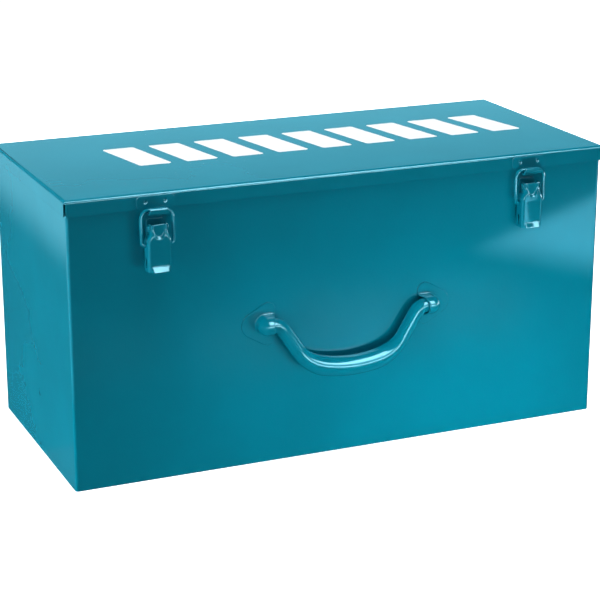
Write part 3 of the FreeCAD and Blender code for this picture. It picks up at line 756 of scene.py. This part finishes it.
def mergedCopy(nodeName, name, body):
    # the CAD node's own shape, its corners joined up and shaded smooth except across sharp edges
    mesh = frame["nodes"][nodeName].data.copy()
    mesh.name = name
    piece = bpy.data.objects.new(name, mesh)
    bpy.context.scene.collection.objects.link(piece)
    work = bmesh.new()
    work.from_mesh(mesh)
    bmesh.ops.remove_doubles(work, verts=work.verts, dist=2 * weldDistance)
    work.to_mesh(mesh)
    work.free()
    if "custom_normal" in mesh.attributes:
        mesh.attributes.remove(mesh.attributes["custom_normal"])
    mesh.shade_smooth()
    mesh.set_sharp_from_angle(angle=math.radians(30))
    mesh.materials.clear()
    mesh.materials.append(fittingEnamel)
    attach(piece, body)
    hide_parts(nodeName)


for side in sides:
    buildLever(side)
    buildBail(side)
    buildKeeper(side)
    headedPin("latch_rivet_" + side, rivetShape, "latch_pin_" + side)
    mergedCopy("latch_base_" + side, "latch_plate_" + side, "case")
print("latches built")

for side in sides:
    headedPin("hinge_pin_" + side, hingePinShape, "hinge_rod_" + side)
    mergedCopy("hinge_body_leaf_" + side, "hinge_lower_" + side, "case")
    mergedCopy("hinge_lid_leaf_" + side, "hinge_upper_" + side, "lid")
mergedCopy("bottom_panel", "bottom_pan", "case")
print("hinges and bottom built")

# the print on the lid
printShape = {
    "bars": 9, "from": -150.0, "to": 195.0, "barWidth": 27.0, "front": -20.0, "back": 44.0, "slant": -12.0,
    "corner": 2.5, "film": 0.06,
}


def buildPrint():
    # equal slanted bars: each is a parallelogram with round corners, flat, a film's thickness above the lid
    s = printShape
    top = lidHigh.z / mm
    centres = np.linspace(s["from"] + s["barWidth"] / 2, s["to"] - s["barWidth"] / 2, s["bars"])
    allPoints, allFaces = [], []
    half, depth, lean = s["barWidth"] / 2, (s["back"] - s["front"]) / 2, s["slant"] / 2
    corners = [(-half - lean, -depth), (half - lean, -depth), (half + lean, depth), (-half + lean, depth)]
    bar = roundedPath(corners, [s["corner"]] * 4, closed=True, steps=6)
    for centre in centres:
        outline = bar + [centre, (s["front"] + s["back"]) / 2]
        count = len(outline)
        middle = outline.mean(0)[None]
        flat = np.concatenate([np.column_stack([outline, np.full(count, top)]),
                               np.column_stack([outline, np.full(count, top + s["film"])]),
                               np.column_stack([middle, [[top + s["film"]]]])])
        ring = np.arange(count)
        after = (ring + 1) % count
        skirt = np.stack([ring, after, after + count, ring + count], -1).tolist()
        fan = np.stack([ring + count, after + count, np.full(count, 2 * count)], -1).tolist()
        offset = sum(len(p) for p in allPoints)
        allPoints.append(flat)
        allFaces += [[index + offset for index in face] for face in skirt + fan]
    makePiece("lid_print", np.concatenate(allPoints) * mm, allFaces, whiteInk, "lid", [])


buildPrint()
print("print built")

# the set: floor, lights and camera
studio = {
    "floorColour": "#f4f5f6", "floorSize": 12.0, "floorGlow": 0.8, "floorRoughness": 0.9,
    "roomMirrored": "#4a5054", "roomSeen": "#ffffff",
}
cameraLook = {
    "azimuth": -23.26, "elevation": 17.65, "distance": 1.6407, "lens": 115.8, "sensor": 36.0,
    "aim": (0.0, -0.0058, 0.0999), "nearest": 0.05, "furthest": 50.0,
}
# what the enamel mirrors: floor round the case, a pale wall behind, a tall window at the front right with a
# dimmer patch of sky under it, low cards that stay below the lid, and a pool of light on the floor.
# Each fade is (axis, from, to, share of the glow left at the end)
windowBlue = "#e4f8ff"
upright = (90, 0, 0)
cards = {
    "mirror_floor_back": {"at": (0.79, 0.45, -0.003), "size": (2.42, 0.9), "glow": 0.10},
    "mirror_floor_left": {"at": (-1.39, 0.9, -0.002), "size": (2.0, 3.0), "glow": 1.2,
                          "fades": [("X", 0.94, 1.0, 0.08), ("Y", -0.42, -0.15, 0.8)]},
    "mirror_floor_near": {"at": (-0.75, -0.75, -0.002), "size": (0.9, 0.95), "glow": 1.6},
    "mirror_wall": {"at": (0.685, 0.9, 0.36), "size": (1.43, 0.72), "turn": upright, "glow": 1.12,
                    "fades": [("Y", -0.11, 0.29, 0.2)]},
    "mirror_window": {"at": (1.48, -2.6, 3.2), "size": (1.5, 3.7), "turn": upright, "glow": 17.0,
                      "colour": windowBlue},
    "mirror_sky_front": {"at": (1.48, -2.6, 0.79), "size": (1.5, 1.12), "turn": upright, "glow": 2.2,
                         "colour": windowBlue},
    "mirror_low_front": {"at": (0.25, -1.3, 0.12), "size": (1.1, 0.21), "turn": upright, "glow": 14.5,
                         "colour": windowBlue},
    "mirror_low_side": {"at": (1.5, -0.62, 0.12), "size": (1.1, 0.21), "turn": (90, 0, 90), "glow": 14.5,
                        "colour": windowBlue},
    "mirror_low_left": {"at": (-0.70, -1.25, 0.12), "size": (0.4, 0.21), "turn": upright, "glow": 7.0,
                        "colour": windowBlue},
    "mirror_pool": {"at": (0.715, -0.635, -0.001), "size": (0.72, 0.30), "turn": (0, 0, -31), "glow": 4.9,
                    "fades": [("Y", 0.0, 0.15, 0.0), ("Y", -0.11, -0.15, 0.0), ("X", -0.22, -0.36, 0.0)]},
}
# what lights the paint's own colour: one lamp overhead, three low along the front, one low at
# the left, and four fills round the sides and the back
lamps = {
    "overhead": {"at": (0.1, 0.06, 1.9), "aim": (0, 0.04, 0.1), "size": (1.6, 1.1), "watts": 41.7},
    "low_right": {"at": (0.19, -0.36, 0.015), "aim": (0.15, -0.1, 0.06), "size": (0.22, 0.05), "watts": 0.57},
    "low_mid": {"at": (0.06, -0.34, 0.015), "aim": (0.04, -0.1, 0.05), "size": (0.20, 0.05), "watts": 0.34},
    "low_left": {"at": (-0.17, -0.36, 0.015), "aim": (-0.17, -0.1, 0.06), "size": (0.22, 0.05),
                 "watts": 0.16},
    "fill_left": {"at": (-1.6, -0.15, 0.25), "aim": (0, 0, 0.08), "size": (0.8, 0.6), "watts": 25.6},
    "low_side": {"at": (-0.52, -0.04, 0.015), "aim": (-0.23, -0.04, 0.03), "size": (0.16, 0.05),
                 "watts": 0.6},
    "fill_right": {"at": (0.9, -1.2, 0.25), "aim": (0.1, -0.1, 0.1), "size": (0.5, 0.4), "watts": 1.35},
    "fill_side": {"at": (1.7, 0.55, 0.35), "aim": (0.2, 0.1, 0.1), "size": (0.8, 0.6), "watts": 16.0},
    "fill_back": {"at": (0.2, 1.8, 0.40), "aim": (0.0, 0.1, 0.1), "size": (1.0, 0.6), "watts": 18.0},
}


def stagePlane(name, at, size, material, turn=(0, 0, 0)):
    mesh = bpy.data.meshes.new(name)
    x, y = size[0] / 2, size[1] / 2
    mesh.from_pydata([(-x, -y, 0), (x, -y, 0), (x, y, 0), (-x, y, 0)], [], [(0, 1, 2, 3)])
    mesh.materials.append(material)
    piece = bpy.data.objects.new(name, mesh)
    bpy.context.scene.collection.objects.link(piece)
    piece.location = at
    piece.rotation_euler = [math.radians(angle) for angle in turn]
    return piece


def addFloor():
    # a matt white floor that glows, so that it looks as pale as the room; it neither lights the part nor
    # shows in it
    material, _, shader = newMaterial("matt white studio floor")
    shader.inputs["Base Color"].default_value = hexToLinear(studio["floorColour"])
    shader.inputs["Roughness"].default_value = studio["floorRoughness"]
    shader.inputs["Emission Color"].default_value = hexToLinear("#ffffff")
    shader.inputs["Emission Strength"].default_value = studio["floorGlow"]
    floor = stagePlane("floor", (0, 0, 0), (studio["floorSize"], studio["floorSize"]), material)
    floor.visible_glossy = False
    floor.visible_diffuse = False


def addRoom():
    # a world that is white where it is seen and grey where it lights the part or is mirrored
    world = bpy.data.worlds.new("soft room")
    bpy.context.scene.world = world
    world.use_nodes = True
    sky = world.node_tree
    seen = node(sky, "ShaderNodeLightPath")
    tone = blend(sky, (seen, "Is Camera Ray"), hexToLinear(studio["roomMirrored"]),
                 hexToLinear(studio["roomSeen"]))
    sky.links.new(tone.outputs[2], sky.nodes["Background"].inputs["Color"])
    sky.nodes["Background"].inputs["Strength"].default_value = 1.0


def reflectionCard(name, at, size, glow, turn=(0, 0, 0), colour="#9ee7fb", fades=()):
    # a glowing card that only shows in the enamel's reflections
    material, tree, shader = newMaterial(name)
    tree.nodes.remove(shader)
    place = node(tree, "ShaderNodeTexCoord")
    parts = node(tree, "ShaderNodeSeparateXYZ", links={0: (place, "Object")})
    strength = glow
    for axis, start, end, share in fades:
        part = spread(tree, (parts, axis), start, end, 1.0, share, "SMOOTHSTEP")
        strength = (node(tree, "ShaderNodeMath", {"operation": "MULTIPLY"}, {0: strength, 1: (part, 0)}), 0)
    light = node(tree, "ShaderNodeEmission", links={"Color": hexToLinear(colour), "Strength": strength})
    tree.links.new(light.outputs[0], tree.nodes["Material Output"].inputs["Surface"])
    card = stagePlane(name, at, size, material, turn)
    card.visible_camera = False
    card.visible_diffuse = False
    card.visible_shadow = False
    card.visible_transmission = False


def areaLight(name, at, aim, size, watts):
    # a soft white lamp that isn't mirrored
    data = bpy.data.lights.new(name, "AREA")
    data.shape = "RECTANGLE"
    data.size, data.size_y = size
    data.energy = watts
    lamp = bpy.data.objects.new(name, data)
    bpy.context.scene.collection.objects.link(lamp)
    lamp.location = at
    lamp.rotation_euler = (Vector(aim) - Vector(at)).to_track_quat("-Z", "Y").to_euler()
    lamp.visible_camera = False
    lamp.visible_glossy = False


def addCamera(look):
    # stands at a distance from the point it aims at, turned by azimuth from the front and raised by elevation
    azimuth, elevation = math.radians(look["azimuth"]), math.radians(look["elevation"])
    away = Vector((math.sin(azimuth) * math.cos(elevation), -math.cos(azimuth) * math.cos(elevation),
                   math.sin(elevation)))
    lens = bpy.data.cameras.new("camera")
    lens.lens = look["lens"]
    lens.sensor_width = look["sensor"]
    lens.clip_start, lens.clip_end = look["nearest"], look["furthest"]
    camera = bpy.data.objects.new("camera", lens)
    bpy.context.scene.collection.objects.link(camera)
    camera.location = Vector(look["aim"]) + away * look["distance"]
    camera.rotation_euler = (-away).to_track_quat("-Z", "Y").to_euler()
    bpy.context.scene.camera = camera


addFloor()
addRoom()
for name, card in cards.items():
    reflectionCard(name, **card)
for name, lamp in lamps.items():
    areaLight(name, **lamp)
addCamera(cameraLook)
bpy.context.scene.view_settings.view_transform = "Standard"
print("set ready")
